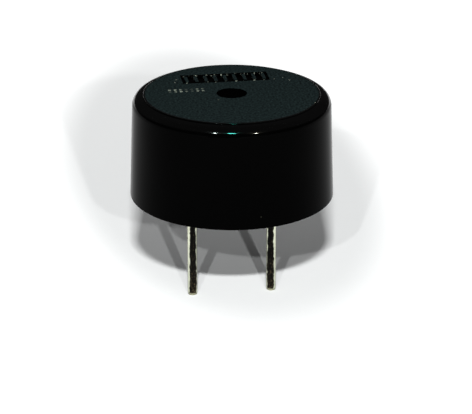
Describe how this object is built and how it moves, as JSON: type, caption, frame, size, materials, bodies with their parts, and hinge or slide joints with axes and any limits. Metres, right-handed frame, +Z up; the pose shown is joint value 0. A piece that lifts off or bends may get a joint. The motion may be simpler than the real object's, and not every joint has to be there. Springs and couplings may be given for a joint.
{
  "type": "piezo buzzer",
  "caption": "Round black pin-type piezo sounder for a circuit board: moulded case with a sound hole, terminal pins, and a bonded brass and ceramic diaphragm inside.",
  "frame": {"origin": "centre of the case's bottom rim, which seats on the circuit board", "axes": "+Z up through the sound hole, away from the board; +X along the line of the two pins; +Y towards the panel moulded in the top"},
  "size_m": [0.0126, 0.0126, 0.0133],
  "materials": {
    "case_plastic": "black moulded plastic, polished wall and spark-eroded top",
    "base_plastic": "black moulded plastic",
    "epoxy_seal": "black potting epoxy",
    "tinned_pin": "tin-plated wire, slightly dull and speckled",
    "brass_plate": "thin rolled brass",
    "piezo_ceramic": "fired piezo ceramic",
    "silver_film": "fired silver film",
    "silicone": "cured silicone",
    "lead_core": "tinned copper wire",
    "lead_jacket_red": "red wire insulation",
    "lead_jacket_black": "black wire insulation",
    "solder": "smooth solder"
  },
  "bodies": {
    "root": {"case": "case_plastic", "base": "base_plastic", "base_seal": "epoxy_seal", "pin_left": "tinned_pin", "pin_right": "tinned_pin", "diaphragm_plate": "brass_plate", "piezo_ceramic": "piezo_ceramic", "silver_electrode": "silver_film", "diaphragm_adhesive": "silicone", "electrode_lead_core": "lead_core", "plate_lead_core": "lead_core", "electrode_lead_jacket": "lead_jacket_red", "plate_lead_jacket": "lead_jacket_black", "electrode_solder": "solder", "plate_solder": "solder", "left_pin_solder": "solder", "right_pin_solder": "solder"}
  },
  "joints": []
}
